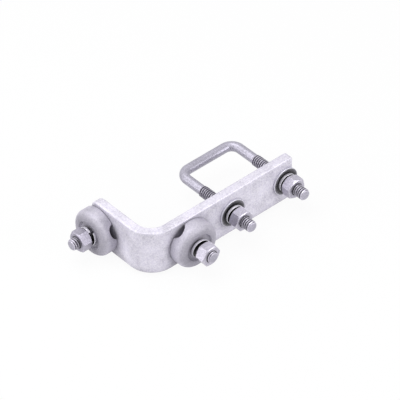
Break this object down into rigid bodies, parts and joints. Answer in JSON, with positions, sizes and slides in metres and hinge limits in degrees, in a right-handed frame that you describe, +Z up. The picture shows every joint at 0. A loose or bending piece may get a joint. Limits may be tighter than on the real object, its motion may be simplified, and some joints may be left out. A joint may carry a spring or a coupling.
{
  "type": "grounding clamp",
  "caption": "L-bent flat-bar grounding clamp with a square U-bolt for a steel member and round grooved pads that clamp earthing conductors under nuts and spring washers.",
  "frame": {"origin": "on the back face of the long arm, midway between the U-bolt legs and halfway up the bar", "axes": "+X along the long arm to its free end, +Y off the back face into the U-bolt loop, +Z up across the bar's width"},
  "size_m": [0.2267, 0.1299, 0.0533],
  "materials": {
    "bar_steel": "matte, hot-dip galvanised",
    "rod_steel": "matte, hot-dip galvanised, threads a little darker",
    "nut_steel": "satin, hot-dip galvanised",
    "washer_steel": "satin, zinc plated",
    "spring_steel": "satin, zinc plated",
    "pad_iron": "matte cast and galvanised"
  },
  "bodies": {
    "clamp_body": {"clamp_bar": "bar_steel", "short_arm_bolt": "rod_steel", "short_arm_head_washer": "washer_steel", "long_arm_bolt": "rod_steel", "long_arm_head_washer": "washer_steel", "near_leg_flat_washer": "washer_steel", "near_leg_spring_washer": "spring_steel", "far_leg_flat_washer": "washer_steel", "far_leg_spring_washer": "spring_steel"},
    "u_bolt": {"u_bolt": "rod_steel"},
    "near_leg_nut": {"near_leg_nut": "nut_steel"},
    "far_leg_nut": {"far_leg_nut": "nut_steel"},
    "short_arm_carrier": {"short_arm_spring_washer": "spring_steel"},
    "short_arm_pad": {"short_arm_pad": "pad_iron"},
    "short_arm_nut": {"short_arm_nut": "nut_steel"},
    "long_arm_carrier": {"long_arm_spring_washer": "spring_steel"},
    "long_arm_pad": {"long_arm_pad": "pad_iron"},
    "long_arm_nut": {"long_arm_nut": "nut_steel"}
  },
  "joints": [
    {"name": "near_leg_nut_spin", "type": "hinge", "parent": "clamp_body", "child": "near_leg_nut", "pos_m": [-0.0345, -0.01, 0], "axis": [0, -1, 0], "range_deg": [-4600, 2520]},
    {"name": "far_leg_nut_spin", "type": "hinge", "parent": "clamp_body", "child": "far_leg_nut", "pos_m": [0.0345, -0.01, 0], "axis": [0, -1, 0], "range_deg": [-4600, 2520]},
    {"name": "u_bolt_slide", "type": "slide", "parent": "clamp_body", "child": "u_bolt", "axis": [0, 1, 0], "range_m": [-0.022, 0.012]},
    {"name": "short_arm_pad_slide", "type": "slide", "parent": "clamp_body", "child": "short_arm_carrier", "axis": [-1, 0, 0], "range_m": [0, 0.008]},
    {"name": "short_arm_pad_swivel", "type": "hinge", "parent": "short_arm_carrier", "child": "short_arm_pad", "pos_m": [-0.14, 0.0604, -0.0038], "axis": [-1, 0, 0], "continuous": true},
    {"name": "short_arm_nut_spin", "type": "hinge", "parent": "short_arm_carrier", "child": "short_arm_nut", "pos_m": [-0.14, 0.0604, -0.0038], "axis": [-1, 0, 0], "range_deg": [0, 1665]},
    {"name": "long_arm_pad_slide", "type": "slide", "parent": "clamp_body", "child": "long_arm_carrier", "axis": [0, -1, 0], "range_m": [0, 0.007]},
    {"name": "long_arm_pad_swivel", "type": "hinge", "parent": "long_arm_carrier", "child": "long_arm_pad", "pos_m": [-0.089, -0.01, -0.0027], "axis": [0, -1, 0], "continuous": true},
    {"name": "long_arm_nut_spin", "type": "hinge", "parent": "long_arm_carrier", "child": "long_arm_nut", "pos_m": [-0.089, -0.01, -0.0027], "axis": [0, -1, 0], "range_deg": [0, 1457]}
  ],
  "couplings": [
    {"joint": "near_leg_nut_spin", "follows": "u_bolt_slide", "rad_per_m": 3590.4},
    {"joint": "far_leg_nut_spin", "follows": "u_bolt_slide", "rad_per_m": 3590.4},
    {"joint": "short_arm_nut_spin", "follows": "short_arm_pad_slide", "rad_per_m": 3590.4},
    {"joint": "long_arm_nut_spin", "follows": "long_arm_pad_slide", "rad_per_m": 3590.4}
  ]
}
